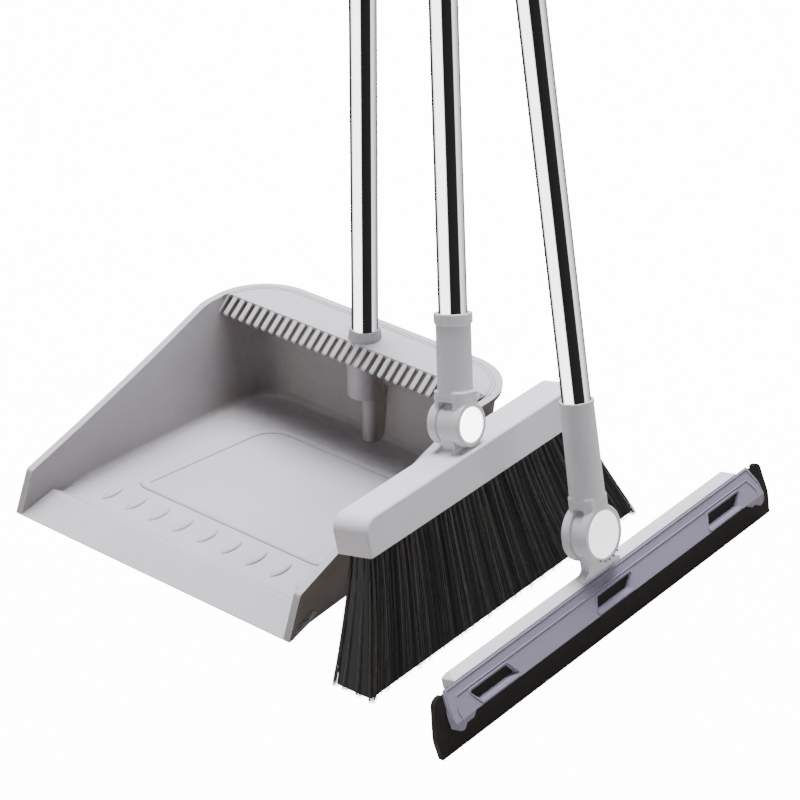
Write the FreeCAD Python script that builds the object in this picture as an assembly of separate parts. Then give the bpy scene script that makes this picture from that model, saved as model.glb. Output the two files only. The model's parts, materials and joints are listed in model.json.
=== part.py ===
import FreeCAD, Part
import math
import os

# A long-handled floor set: a hooded dustpan with a comb, a broom and a squeegee, each on a steel pole.
# Units are millimetres. X points to the pan's right, Y to its back and Z up.
# The origin is the centre of the dustpan's flat underside. The tools stand beside the pan on one floor.

# ---- dustpan -------------------------------------------------------------------------------
pan_centre_y = 150.0          # from the lip's edge back to the origin
pan_wall = 2.4
pan_floor = 3.0
pan_front_half = 142.5        # outside of the side walls at the mouth
pan_foot_half = 124.5         # outside of the side walls at the back, at the floor
pan_top_half = 141.0          # outside of the side walls at the back, under the hood
pan_foot_back = 279.0         # outside of the back wall at the floor
pan_top_back = 289.5          # outside of the back wall under the hood
pan_foot_corner = 32.0
pan_top_corner = 48.0
hood_height = 102.0
hood_thickness = 2.6
rim_width = 4.0               # how far the rim stands out from the walls
rim_depth = 4.5
cheek_kink_y = 14.4
cheek_kink_z = 35.0
cheek_top_y = 222.0           # where the sloping edge of a side wall meets the level hood
cheek_top_round = 40.0
lip_edge = 0.8
lip_run = 34.0
lip_rise = 9.5
lip_back_run = 11.0

comb_root_y = 248.0
comb_reach = 14.0
comb_drop = 11.0
comb_pitch = 8.4
comb_tooth_width = 4.3
comb_tooth_thickness = 3.2
comb_margin = 2.2              # from the hood's side edge to the outermost finger

pan_pole_y = 262.0
boss_wall = 3.95
boss_bottom = 50.0
boss_floor = 12.0             # solid part of the boss, under the pole's foot
neck_height = 9.0
neck_wall = 2.95
neck_top_wall = 1.55
rib_radius = 8.0

ripple_count = 9
ripple_pitch = 26.0
ripple_y = 68.0
ripple_length = 26.0
ripple_width = 8.0
ripple_height = 1.6
tray_front_half = 95.0
tray_back_half = 76.0
tray_front_y = 95.0
tray_back_y = 230.0
tray_corner = 26.0
tray_bead = 3.0
tray_bead_height = 0.8

# ---- poles and grips -----------------------------------------------------------------------
pole_radius = 11.0
pole_wall = 0.6
pole_fit = 0.05               # radial clearance of a pole in its socket
plug_fit = 0.05
plug_length = 40.0
pole_depth = 50.0             # how deep a pole sits in a tool's ferrule
pan_pole_length = 635.0
tool_pole_length = 800.0
grip_wall = 3.45
grip_top_wall = 2.15
grip_sleeve = 100.0           # length of pole inside the grip
grip_end = 42.0               # solid end beyond the pole
grip_tang = 12.0              # thickness of the flattened end
grip_tang_length = 30.0
hang_hole_radius = 5.5
screw_radius = 2.0
screw_length = 24.0
screw_head_radius = 4.0
screw_head_height = 2.4
screw_head_sink = 1.0         # how far the screw's head sits inside the boss

# ---- broom ---------------------------------------------------------------------------------
broom_x = 223.0
broom_y = 147.0
cover_length = 272.0
cover_depth = 34.0
cover_height = 29.5
cover_bottom = 97.0
cover_wall = 2.6
cover_round = 13.0
cover_edge = 2.2
cover_hollow_round = 4.0
tuft_plate_height = 16.0
tuft_plate_inset = 2.0
tuft_fit = 0.2
bristle_root_inset = 3.5
bristle_splay = 66.0          # how much longer the tufts are at the floor than the cover
bristle_foot_depth = 46.0

# ---- squeegee ------------------------------------------------------------------------------
squeegee_x = 316.0
squeegee_y = 172.5
blade_length = 434.0
blade_thickness = 4.0
blade_front = 7.6             # front face of the blade, ahead of the knuckle's middle
blade_top = 33.0
blade_lobe_top = 44.0         # the blade's ends stand up past the ends of the spine
blade_lobe_run = 11.0
blade_shoulder = 7.0
blade_toe = 5.0
spine_back = -8.0
spine_brow = 4.0              # where the spine's top meets the clamp plate
spine_front = 7.0
spine_top = 50.0
spine_front_top = 45.0
spine_back_edge = 38.0        # height of the edge between the spine's back and its sloping leg
spine_length = 366.0
spine_end_run = 8.0
back_leg = 3.3
back_leg_bottom = 24.0
clamp_fit = 0.2
plate_length = 404.0
plate_front = 15.0
plate_thickness = 1.5
plate_bottom = 21.5
plate_tip_drop = 7.5
plate_tip_bevel = 2.0
plate_tip_run = 9.0
plate_tip_slope = 3.0
plate_step_drop = 4.0
plate_step_run = 20.0
plate_corner_run = 5.0
plate_corner_drop = 14.0
window_length = 44.0
window_height = 9.5
window_slant = 8.0
window_bottom = 24.0
window_spread = 150.0
clamp_screw_radius = 1.5
clamp_screw_head = 3.0
clamp_screw_head_height = 2.0
clamp_screw_height = 30.0
clamp_screw_places = (-187.5, -75.0, 75.0, 187.5)
clamp_screw_grip = 4.6        # plastic between the screw's head and the blade
clamp_screw_bite = 2.0        # thread in the plate
clamp_screw_fit = 0.1

# ---- how the two tools stand ---------------------------------------------------------------
tool_tilt = 14.0              # heads tipped back about their length
tool_yaw = 1.2
broom_lean = 14.0             # pole turned in its knuckle, away from square to the head
squeegee_lean = 5.9

# ---- knuckles: one set of sizes for each tool ----------------------------------------------
knuckle_pin_fit = 0.06
washer_thickness = 0.5
washer_gap = 0.1
cap_fit = 0.15
cap_thickness = 1.8
cap_proud = 0.8
spring_washer_thickness = 0.6

broom_knuckle = {
    "height": 145.0,          # pin above the floor line of the head
    "cheek_radius": 17.0,
    "cheek_thickness": 8.0,
    "half_gap": 7.0,
    "tongue_radius": 16.0,
    "tongue_neck": 14.0,
    "tongue_flare": 6.0,
    "cap_radius": 13.0,
    "recess_depth": 5.2,
    "pin_radius": 4.0,
    "head_radius": 6.5,
    "head_height": 2.8,
    "ferrule_start": 23.0,
    "ferrule_end": 84.0,
    "ferrule_wall": 2.35,
    "ferrule_top_wall": 2.35,
    "collar_wall": 3.65,
    "collar_height": 8.0,
    "dots": 0,
}
squeegee_knuckle = {
    "height": 77.0,
    "cheek_radius": 22.5,
    "cheek_thickness": 7.0,
    "half_gap": 4.6,
    "tongue_radius": 20.0,
    "tongue_neck": 15.0,
    "tongue_flare": 9.0,
    "cap_radius": 18.0,
    "recess_depth": 4.4,
    "pin_radius": 4.0,
    "head_radius": 6.5,
    "head_height": 2.2,
    "ferrule_start": 28.0,
    "ferrule_end": 104.0,
    "ferrule_wall": 2.55,
    "ferrule_top_wall": 1.75,
    "collar_wall": 2.15,
    "collar_height": 2.0,
    "dots": 5,
}
fork_slot_clearance = 1.5     # above the tongue, inside the fork
tongue_root = 4.0             # how far the squeegee's tongue runs down into its spine
dot_radius = 0.9
dot_depth = 1.2
dot_step = 22.0               # degrees between the dots

overlap = 1.0                 # how far joined shapes of one moulding run into each other


def vec(x, y, z):
    return FreeCAD.Vector(x, y, z)


def rounded_wire(corners, place):
    """Closed wire through (u, v, radius) corners; place turns (u, v) into a point."""
    tangents = []
    count = len(corners)
    for i in range(count):
        u, v, radius = corners[i]
        here = vec(u, v, 0)
        before = vec(corners[i - 1][0], corners[i - 1][1], 0) - here
        after = vec(corners[(i + 1) % count][0], corners[(i + 1) % count][1], 0) - here
        half = before.getAngle(after) / 2
        before.normalize()
        after.normalize()
        reach = radius / math.tan(half)
        middle = before + after
        if radius > 0:
            middle.normalize()
        summit = here + middle * (radius / math.sin(half) - radius)
        tangents.append((here + before * reach, summit, here + after * reach, radius))
    edges = []
    for i in range(count):
        start, summit, end, radius = tangents[i]
        if radius > 0:
            edges.append(Part.Arc(place(start), place(summit), place(end)).toShape())
        following = tangents[(i + 1) % count][0]
        if (following - end).Length > 1e-6:
            edges.append(Part.LineSegment(place(end), place(following)).toShape())
    return Part.Wire(edges)


def along_x(corners, start, end):
    """Prism of a (y, z, radius) outline, from x = start to x = end."""
    wire = rounded_wire(corners, lambda p: vec(start, p.x, p.y))
    return Part.Face(wire).extrude(vec(end - start, 0, 0))


def along_y(corners, start, end):
    """Prism of an (x, z, radius) outline, from y = start to y = end."""
    wire = rounded_wire(corners, lambda p: vec(p.x, start, p.y))
    return Part.Face(wire).extrude(vec(0, end - start, 0))


def along_z(corners, start, end):
    """Prism of an (x, y, radius) outline, from z = start to z = end."""
    wire = rounded_wire(corners, lambda p: vec(p.x, p.y, start))
    return Part.Face(wire).extrude(vec(0, 0, end - start))


def block(low, high):
    return Part.makeBox(high[0] - low[0], high[1] - low[1], high[2] - low[2], vec(*low))


def rod_x(radius, start, end, y=0.0, z=0.0):
    return Part.makeCylinder(radius, end - start, vec(start, y, z), vec(1, 0, 0))


def rod_z(radius, start, end, y=0.0):
    return Part.makeCylinder(radius, end - start, vec(0, y, start), vec(0, 0, 1))


def cone_z(low_radius, high_radius, start, end, y=0.0):
    if low_radius == high_radius:
        return rod_z(low_radius, start, end, y)
    return Part.makeCone(low_radius, high_radius, end - start, vec(0, y, start), vec(0, 0, 1))


def cut(shape, *tools):
    return shape.cut(Part.makeCompound(list(tools)))


def fuse(shapes):
    return shapes[0].multiFuse(shapes[1:]).removeSplitter()


def save(name, shape):
    if not shape.isValid():
        raise RuntimeError(name + " isn't a valid shape")
    shape.exportStep("parts/" + name + ".step")


# ---- dustpan -------------------------------------------------------------------------------
def pan_outline(z, offset, front):
    """Rounded outline of the pan at the floor (z = 0) or the hood, grown by offset."""
    at_top = z > 0
    rear_half = pan_top_half if at_top else pan_foot_half
    back = pan_top_back if at_top else pan_foot_back
    corner = pan_top_corner if at_top else pan_foot_corner
    spread = (pan_front_half - rear_half) / back
    front_half = pan_front_half + offset - spread * front
    rear = rear_half + offset - spread * offset
    corners = [
        (-front_half, front, 0),
        (front_half, front, 0),
        (rear, back + offset, corner + offset),
        (-rear, back + offset, corner + offset),
    ]
    return rounded_wire(corners, lambda p: vec(p.x, p.y, z))


def hood_half_at(y):
    """Outside half width of the pan under the hood, y back from the lip's edge."""
    return pan_front_half - (pan_front_half - pan_top_half) / pan_top_back * y


def around_pan(low, high, front=0.0):
    """Block wider and longer than the pan, from z = low to z = high."""
    reach = max(pan_front_half, pan_top_half) + 3 * rim_width
    return block((-reach, front, low), (reach, pan_top_back + 3 * rim_width, high))


def pan_block(offset, front=0.0):
    wires = [pan_outline(0, offset, front), pan_outline(hood_height, offset, front)]
    return Part.makeLoft(wires, True, True)


def side_profile():
    """What a side wall covers, seen from the side."""
    far = pan_top_back + 3 * rim_width
    reach = pan_top_half + 3 * rim_width
    corners = [
        (0, 0, 0),
        (cheek_kink_y, cheek_kink_z, 4.0),
        (cheek_top_y, hood_height, cheek_top_round),
        (far, hood_height, 0),
        (far, 0, 0),
    ]
    return along_x(corners, -reach, reach)


def floor_profile():
    reach = pan_front_half + 3 * rim_width
    far = pan_top_back + 3 * rim_width
    ridge_end = lip_run + lip_back_run
    corners = [
        (0, 0, 0),
        (0, lip_edge, 0),
        (lip_run, lip_rise, 5.0),
        (ridge_end, pan_floor, 6.0),
        (far, pan_floor, 0),
        (far, 0, 0),
        (ridge_end, 0, 0),
        (lip_run, lip_rise - pan_floor, 5.0),
        (lip_edge + pan_floor, 0, 0),
    ]
    return along_x(corners, -reach, reach)


def comb():
    """A row of fingers that hang forward and down from the hood's front edge."""
    slope = math.hypot(comb_reach, comb_drop)
    fall = vec(0, -comb_reach / slope, -comb_drop / slope)
    thick = vec(0, -fall.z, fall.y) * comb_tooth_thickness
    root = vec(0, comb_root_y + overlap, hood_height)
    tip = root + fall * (slope + overlap)
    tip_round = comb_tooth_thickness / 3
    corners = [
        (root.y, root.z, 0),
        (tip.y, tip.z, tip_round),
        ((tip + thick).y, (tip + thick).z, tip_round),
        ((root + thick).y, (root + thick).z, 0),
    ]
    count = int(2 * (hood_half_at(comb_root_y) - comb_margin) / comb_pitch) + 1
    first = -comb_pitch * (count - 1) / 2
    teeth = []
    for i in range(count):
        middle = first + i * comb_pitch
        teeth.append(along_x(corners, middle - comb_tooth_width / 2, middle + comb_tooth_width / 2))
    return teeth


def ripples():
    """Low lens-shaped bumps across the floor, behind the lip."""
    half = ripple_length / 2
    sphere_radius = (half * half + ripple_height * ripple_height) / (2 * ripple_height)
    bumps = []
    for i in range(ripple_count):
        middle = (i - (ripple_count - 1) / 2) * ripple_pitch
        ball = Part.makeSphere(sphere_radius)
        squeeze = FreeCAD.Matrix()
        squeeze.A11 = ripple_width / ripple_length
        ball = ball.transformGeometry(squeeze)
        ball.translate(vec(middle, ripple_y, pan_floor + ripple_height - sphere_radius))
        keep = block(
            (middle - half, ripple_y - ripple_length, pan_floor - overlap),
            (middle + half, ripple_y + ripple_length, pan_floor + 2 * ripple_height),
        )
        bumps.append(ball.common(keep))
    return bumps


def tray_line():
    """A low bead that frames the middle of the floor."""
    def frame(grow):
        return [
            (-tray_front_half - grow, tray_front_y - grow, 0),
            (tray_front_half + grow, tray_front_y - grow, 0),
            (tray_back_half + grow, tray_back_y + grow, tray_corner + grow),
            (-tray_back_half - grow, tray_back_y + grow, tray_corner + grow),
        ]
    top = pan_floor + tray_bead_height
    outside = along_z(frame(tray_bead), pan_floor - overlap, top)
    inside = along_z(frame(0), pan_floor - 2 * overlap, top + overlap)
    return outside.cut(inside)


def pan_body():
    outer = pan_block(0)
    grown = pan_block(rim_width)
    inner = pan_block(-pan_wall, -2 * rim_width)
    profile = side_profile()
    lowered = profile.translated(vec(0, rim_depth, -rim_depth))
    wall = outer.cut(inner).common(profile)
    rim = grown.cut(inner).common(profile.cut(lowered))
    floor = grown.common(floor_profile())
    floor = floor.cut(grown.cut(outer).common(around_pan(0, hood_height, lip_run)))
    under_hood = hood_height - hood_thickness
    hood = grown.common(around_pan(under_hood, hood_height, comb_root_y))
    bore = pole_radius + pole_fit
    boss = rod_z(bore + boss_wall, boss_bottom, under_hood + overlap, pan_pole_y)
    neck_top = hood_height + neck_height
    neck = cone_z(bore + neck_wall, bore + neck_top_wall, hood_height - overlap, neck_top, pan_pole_y)
    rib_front = pan_foot_back - 2 * rib_radius
    rib_outline = [
        (-rib_radius, rib_front, rib_radius * 0.9),
        (rib_radius, rib_front, rib_radius * 0.9),
        (rib_radius, pan_top_back, 0),
        (-rib_radius, pan_top_back, 0),
    ]
    rib = along_z(rib_outline, pan_floor - overlap, boss_bottom + overlap).common(pan_block(-pan_wall / 2))
    shape = fuse([floor, wall, rim, hood, boss, neck, rib, tray_line()] + comb() + ripples())
    socket = rod_z(bore, pan_pole_foot(), neck_top + overlap, pan_pole_y)
    screw_way = rod_z(screw_radius + clamp_screw_fit, boss_bottom - overlap, pan_pole_foot(), pan_pole_y)
    head_radius = screw_head_radius + clamp_screw_fit
    head_way = rod_z(head_radius, boss_bottom - overlap, pan_screw_seat(), pan_pole_y)
    shape = cut(shape, socket, screw_way, head_way)
    return shape.translated(vec(0, -pan_centre_y, 0))


def pan_pole_foot():
    return boss_bottom + boss_floor


def pan_screw_seat():
    return boss_bottom + screw_head_height + screw_head_sink


# ---- poles ---------------------------------------------------------------------------------
def pole(foot, length, y=0.0):
    outside = rod_z(pole_radius, foot, foot + length, y)
    inside = rod_z(pole_radius - pole_wall, foot - overlap, foot + length + overlap, y)
    return outside.cut(inside)


def pole_plug(foot, y=0.0):
    """Plastic insert pressed into the foot of a pole."""
    shape = rod_z(pole_radius - pole_wall - plug_fit, foot, foot + plug_length, y)
    return shape.cut(rod_z(screw_radius, foot - overlap, foot + screw_length, y))


def grip(pole_top, y=0.0):
    """Sleeve over the top of a pole, flattened at its end around a hole to hang it by."""
    start = pole_top - grip_sleeve
    end = pole_top + grip_end
    bore_radius = pole_radius + pole_fit
    grip_radius = bore_radius + grip_wall
    top_radius = bore_radius + grip_top_wall
    shape = cone_z(grip_radius, top_radius, start, end - top_radius, y)
    dome = Part.makeSphere(top_radius, vec(0, y, end - top_radius))
    shape = fuse([shape, dome])
    half = grip_tang / 2
    tang_start = end - grip_tang_length
    sides = []
    for side in (-1, 1):
        near = side * half
        far = side * 2 * grip_radius
        low = (min(near, far), y - 2 * grip_radius, tang_start)
        high = (max(near, far), y + 2 * grip_radius, end + overlap)
        sides.append(block(low, high))
    bore = rod_z(bore_radius, start - overlap, pole_top, y)
    hole = rod_x(hang_hole_radius, -2 * grip_radius, 2 * grip_radius, y, hang_hole_height(pole_top))
    return cut(shape, bore, hole, *sides)


def hang_hole_height(pole_top):
    return pole_top + grip_end - grip_tang_length / 2


def pan_pole_parts():
    foot = pan_pole_foot()
    seat = pan_screw_seat()
    y = pan_pole_y
    screw = fuse([
        rod_z(screw_radius, seat - overlap, foot + screw_length - overlap, y),
        rod_z(screw_head_radius, seat - screw_head_height, seat, y),
    ])
    shapes = {
        "pan_pole": pole(foot, pan_pole_length, y),
        "pan_pole_plug": pole_plug(foot, y),
        "pan_pole_screw": screw,
        "pan_grip": grip(foot + pan_pole_length, y),
    }
    return {name: shape.translated(vec(0, -pan_centre_y, 0)) for name, shape in shapes.items()}


# ---- knuckles ------------------------------------------------------------------------------
def tongue(size, head_top):
    """The part of a head that stands up into the fork, with the hole for the pin."""
    half = size["half_gap"] - washer_thickness - 2 * washer_gap
    pin_z = size["height"]
    neck = size["tongue_neck"]
    flare = size["tongue_flare"]
    upright = [
        (-neck - flare, head_top - overlap, 0),
        (-neck - flare, head_top, 0),
        (-neck, head_top + flare / 2, flare / 2),
        (-neck, pin_z, 0),
        (neck, pin_z, 0),
        (neck, head_top + flare / 2, flare / 2),
        (neck + flare, head_top, 0),
        (neck + flare, head_top - overlap, 0),
    ]
    disc = rod_x(size["tongue_radius"], -half, half, 0, pin_z)
    return [disc, along_x(upright, -half, half)]


def pin_hole(size):
    radius = size["pin_radius"] + knuckle_pin_fit
    reach = size["half_gap"] + size["cheek_thickness"]
    return rod_x(radius, -reach, reach, 0, size["height"])


def fork(size):
    """Ferrule that holds the pole, with two round cheeks over the tongue. The pin is at z = 0."""
    inner = size["half_gap"]
    outer = inner + size["cheek_thickness"]
    start = size["ferrule_start"]
    end = size["ferrule_end"]
    bore = pole_radius + pole_fit
    shoulder = bore + size["ferrule_wall"]
    collar_start = end - size["collar_height"]
    shapes = [
        cone_z(shoulder, bore + size["ferrule_top_wall"], start, end),
        rod_z(bore + size["collar_wall"], collar_start, end),
    ]
    slot_top = size["tongue_radius"] + fork_slot_clearance
    bridge = [
        (-shoulder + overlap, slot_top, 0),
        (shoulder - overlap, slot_top, 0),
        (shoulder - overlap, start + overlap, 0),
        (-shoulder + overlap, start + overlap, 0),
    ]
    shapes.append(along_x(bridge, -shoulder + 2 * overlap, shoulder - 2 * overlap))
    for side in (-1, 1):
        near = min(side * inner, side * outer)
        far = max(side * inner, side * outer)
        shapes.append(rod_x(size["cheek_radius"], near, far))
        arm = [
            (-shoulder, 0, 0),
            (shoulder, 0, 0),
            (shoulder - overlap, start + 2 * overlap, 0),
            (-shoulder + overlap, start + 2 * overlap, 0),
        ]
        shapes.append(along_x(arm, near, far))
    shape = fuse(shapes)
    tools = [rod_x(size["pin_radius"] + knuckle_pin_fit, -outer - overlap, outer + overlap)]
    for side in (-1, 1):
        face = side * outer
        floor = side * (outer - size["recess_depth"])
        tools.append(rod_x(size["cap_radius"] + cap_fit, min(face, floor), max(face, floor)))
    tools.append(rod_z(bore, end - pole_depth, end + overlap))
    ring = (size["cap_radius"] + size["cheek_radius"]) / 2
    for i in range(size["dots"]):
        angle = math.radians(-90 + (i - 1) * dot_step)
        y = ring * math.cos(angle)
        z = ring * math.sin(angle)
        tools.append(rod_x(dot_radius, outer - dot_depth, outer + overlap, y, z))
    turned = rod_z(max(shoulder, outer) + overlap, -2 * size["cheek_radius"], end)
    cheeks = rod_x(size["cheek_radius"], -outer, outer)
    return cut(shape, *tools).common(fuse([turned, cheeks]))


def hexagon_x(across, start, end):
    corner = across / math.sqrt(3)
    corners = []
    for i in range(6):
        angle = math.radians(60 * i)
        corners.append((corner * math.cos(angle), corner * math.sin(angle), 0))
    return along_x(corners, start, end)


def ring_x(outer_radius, inner_radius, start, end):
    disc = rod_x(outer_radius, start, end)
    return disc.cut(rod_x(inner_radius, start - overlap, end + overlap))


def knuckle_hardware(prefix, size):
    """Bolt, nut, washers and caps of one knuckle. The pin is at z = 0, along X."""
    inner = size["half_gap"]
    outer = inner + size["cheek_thickness"]
    seat = outer - size["recess_depth"]
    bolt_radius = size["pin_radius"]
    nut_start = -seat - spring_washer_thickness
    nut_end = nut_start - size["head_height"]
    bolt = fuse([
        rod_x(bolt_radius, nut_end, seat + overlap),
        rod_x(size["head_radius"], seat, seat + size["head_height"]),
    ])
    nut = hexagon_x(2 * size["head_radius"], nut_end, nut_start)
    nut = nut.cut(rod_x(bolt_radius, nut_end - overlap, nut_start + overlap))
    washers = []
    for side in (-1, 1):
        near = side * (inner - washer_gap)
        far = side * (inner - washer_gap - washer_thickness)
        ring = ring_x(size["cap_radius"] - 1, bolt_radius + knuckle_pin_fit, min(near, far), max(near, far))
        washers.append(ring)
    cap_back = outer + cap_proud - cap_thickness
    front_cap = rod_x(size["cap_radius"], cap_back, outer + cap_proud)
    back_cap = rod_x(size["cap_radius"], -outer - cap_proud, -cap_back)
    return {
        prefix + "_knuckle_bolt": bolt,
        prefix + "_knuckle_nut": nut,
        prefix + "_friction_washers": Part.makeCompound(washers),
        prefix + "_spring_washer": ring_x(
            size["head_radius"], bolt_radius + knuckle_pin_fit, -seat - spring_washer_thickness, -seat
        ),
        prefix + "_front_cap": front_cap,
        prefix + "_back_cap": back_cap,
    }


def handle_parts(prefix, size):
    """Everything above the pin of one tool. The pin is at the origin and the pole points up."""
    foot = size["ferrule_end"] - pole_depth
    shapes = {
        prefix + "_fork": fork(size),
        prefix + "_pole": pole(foot, tool_pole_length),
        prefix + "_pole_plug": pole_plug(foot),
        prefix + "_grip": grip(foot + tool_pole_length),
    }
    shapes.update(knuckle_hardware(prefix, size))
    return shapes


# ---- broom head ----------------------------------------------------------------------------
def bar_corners(length, low, high, top_round, bottom_round):
    half = length / 2
    return [
        (-half, low, bottom_round),
        (half, low, bottom_round),
        (half, high, top_round),
        (-half, high, top_round),
    ]


def broom_head_parts():
    top = cover_bottom + cover_height
    half = cover_depth / 2
    shell = along_x(bar_corners(cover_length, cover_bottom, top, cover_round, 0), -half, half)
    rounded = []
    for edge in shell.Edges:
        box = edge.BoundBox
        if box.XLength < 1e-6 and box.ZMax > cover_bottom + 1e-3:
            rounded.append(edge)
    shell = shell.makeFillet(cover_edge, rounded)
    inner_half = half - cover_wall
    ceiling = cover_bottom + tuft_plate_inset + tuft_plate_height + tuft_fit
    hollow = along_x(
        bar_corners(cover_length - 2 * cover_wall, cover_bottom - overlap, ceiling, cover_hollow_round, 0),
        -inner_half,
        inner_half,
    )
    cover = fuse([shell] + tongue(broom_knuckle, top))
    cover = cut(cover, hollow, pin_hole(broom_knuckle))
    plate_half = inner_half - tuft_fit
    plate_low = cover_bottom + tuft_plate_inset
    tuft_length = cover_length - 2 * cover_wall - 2 * tuft_fit
    plate = along_x(
        bar_corners(tuft_length, plate_low, plate_low + tuft_plate_height, cover_hollow_round, 0),
        -plate_half,
        plate_half,
    )
    return {
        "broom_cover": cover,
        "broom_tuft_plate": plate,
        "broom_bristles": bristles(tuft_length, plate_half, plate_low),
    }


def bristles(tuft_length, plate_half, root_height):
    """The tufts as one solid that widens down to the floor, which it meets at the head's tilt."""
    slope = math.tan(math.radians(tool_tilt))
    root_y = tuft_length / 2 - bristle_root_inset
    root_x = plate_half - bristle_root_inset
    foot_y = (cover_length + bristle_splay) / 2
    foot_x = bristle_foot_depth / 2
    signs = [(-1, -1), (1, -1), (1, 1), (-1, 1)]
    root = [vec(root_x * i, root_y * j, root_height) for i, j in signs]
    foot = [vec(foot_x * i, foot_y * j, -foot_x * i * slope) for i, j in signs]
    wires = [Part.makePolygon(points + points[:1]) for points in (foot, root)]
    return Part.makeLoft(wires, True, True)


# ---- squeegee head -------------------------------------------------------------------------
def above_floor():
    """The space over the floor, as the tipped head sees it."""
    slope = math.tan(math.radians(tool_tilt))
    reach = 4 * plate_front
    top = 4 * spine_top
    corners = [(-reach, reach * slope, 0), (reach, -reach * slope, 0), (reach, top, 0), (-reach, top, 0)]
    return along_y(corners, -blade_length, blade_length)


def blade_slot():
    """Back of the slot that the blade is clamped in."""
    return blade_front - blade_thickness - clamp_fit


def screw_seat():
    return blade_slot() - clamp_screw_grip


def squeegee_blade():
    back = blade_front - blade_thickness
    half = blade_length / 2
    lobe = half - blade_lobe_run
    step = spine_length / 2 + clamp_fit
    right = [
        (half - blade_toe, -4 * blade_toe, 0),
        (half, 3 * blade_toe, 4 * blade_toe),
        (lobe + blade_toe, blade_lobe_top, blade_shoulder),
        (step, blade_lobe_top, blade_toe),
        (step, blade_top, 0),
    ]
    left = [(-y, z, radius) for y, z, radius in reversed(right)]
    sheet = along_x(right + left, back, blade_front).common(above_floor())
    covered = plate_length / 2 + clamp_fit
    slope = [
        (spine_back, plate_back_height(spine_back) - clamp_fit, 0),
        (plate_front, plate_back_height(plate_front) - clamp_fit, 0),
        (plate_front, 4 * spine_top, 0),
        (spine_back, 4 * spine_top, 0),
    ]
    tools = [along_y(slope, -covered, covered)]
    radius = clamp_screw_radius + clamp_screw_fit
    for y in clamp_screw_places:
        tools.append(rod_x(radius, back - overlap, blade_front + overlap, y, clamp_screw_height))
    return cut(sheet, *tools)


def squeegee_spine():
    slot = blade_slot()
    section = [
        (spine_back, spine_top, 3.0),
        (spine_brow, spine_front_top, 0),
        (spine_brow, plate_back_height(spine_brow) - clamp_fit, 0),
        (spine_front, plate_back_height(spine_front) - clamp_fit, 0),
        (spine_front, blade_top + clamp_fit, 0),
        (slot, blade_top + clamp_fit, 0),
        (slot, back_leg_bottom, 0),
        (slot - back_leg, back_leg_bottom, 1.0),
        (spine_back, spine_back_edge, 2.0),
    ]
    half = spine_length / 2
    bar = along_y(section, -half, half)
    ends = [
        (-half, 0, 0),
        (half, 0, 0),
        (half, spine_front_top, 2.0),
        (half - spine_end_run, spine_top, 3.0),
        (-half + spine_end_run, spine_top, 3.0),
        (-half, spine_front_top, 2.0),
    ]
    bar = bar.common(along_x(ends, 4 * spine_back, 4 * spine_front))
    reach = 3 * squeegee_knuckle["tongue_radius"]
    root = spine_front_top - tongue_root
    above_slot = block((-reach, -reach, root), (reach, reach, root + 2 * reach))
    tongue_top = (spine_top + spine_front_top) / 2
    shape = fuse([bar] + [piece.common(above_slot) for piece in tongue(squeegee_knuckle, tongue_top)])
    tools = [pin_hole(squeegee_knuckle)]
    shank_radius = clamp_screw_radius + clamp_screw_fit
    head_radius = clamp_screw_head + clamp_screw_fit
    for y in clamp_screw_places:
        tools.append(rod_x(shank_radius, spine_back, blade_front, y, clamp_screw_height))
        tools.append(rod_x(head_radius, 2 * spine_back, screw_seat(), y, clamp_screw_height))
    return cut(shape, *tools)


def plate_back_height(x):
    """Height of the sloping inner face of the clamp plate, x ahead of the knuckle's middle."""
    run = plate_front - spine_brow
    drop = spine_front_top - plate_bottom
    return spine_front_top - drop / run * (x - spine_brow) - plate_thickness * math.hypot(run, drop) / run


def squeegee_plate():
    """Front clamp plate: sloping face, hooked ends and three slanted windows."""
    back = blade_front + clamp_fit
    near = spine_brow + clamp_fit
    low = plate_bottom - plate_tip_drop
    step = plate_bottom - plate_step_drop
    top = spine_front_top - clamp_fit
    section = [
        (near, top, 0),
        (plate_front, plate_bottom, 4.0),
        (plate_front, low, 0),
        (back, low, 0),
        (back, plate_back_height(back), 0),
        (near, plate_back_height(near), 0),
    ]
    half = plate_length / 2
    bar = along_y(section, -half, half)
    outline = [
        (-half + plate_corner_run, top + overlap, 4.0),
        (-half, top - plate_corner_drop, 12.0),
        (-half + plate_tip_bevel, low + plate_tip_bevel, 0),
        (-half + 3 * plate_tip_bevel, low, 0),
        (-half + plate_tip_run, low, 0),
        (-half + plate_tip_run + plate_tip_slope, step, 0),
        (-half + plate_step_run, step, 0),
        (-half + plate_step_run + plate_step_drop, plate_bottom, 0),
    ]
    mirrored = [(-y, z, radius) for y, z, radius in reversed(outline)]
    bar = bar.common(along_x(outline + mirrored, -plate_front, 2 * plate_front))
    tools = []
    for middle, slant in ((-window_spread, -1), (0.0, 1), (window_spread, 1)):
        shift = slant * window_slant / 2
        reach = window_length / 2
        corners = [
            (middle - reach - shift, window_bottom, 1.0),
            (middle + reach - shift, window_bottom, 1.0),
            (middle + reach + shift, window_bottom + window_height, 1.0),
            (middle - reach + shift, window_bottom + window_height, 1.0),
        ]
        tools.append(along_x(corners, 0, 2 * plate_front))
    for y in clamp_screw_places:
        bite = back + clamp_screw_bite
        tools.append(rod_x(clamp_screw_radius, back - overlap, bite, y, clamp_screw_height))
    return cut(bar, *tools)


def clamp_screws():
    seat = screw_seat()
    tip = blade_front + clamp_fit + clamp_screw_bite
    screws = []
    for y in clamp_screw_places:
        shank = rod_x(clamp_screw_radius, seat - overlap, tip, y, clamp_screw_height)
        head = rod_x(clamp_screw_head, seat - clamp_screw_head_height, seat, y, clamp_screw_height)
        screws.append(shank.fuse(head))
    return Part.makeCompound(screws)


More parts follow.
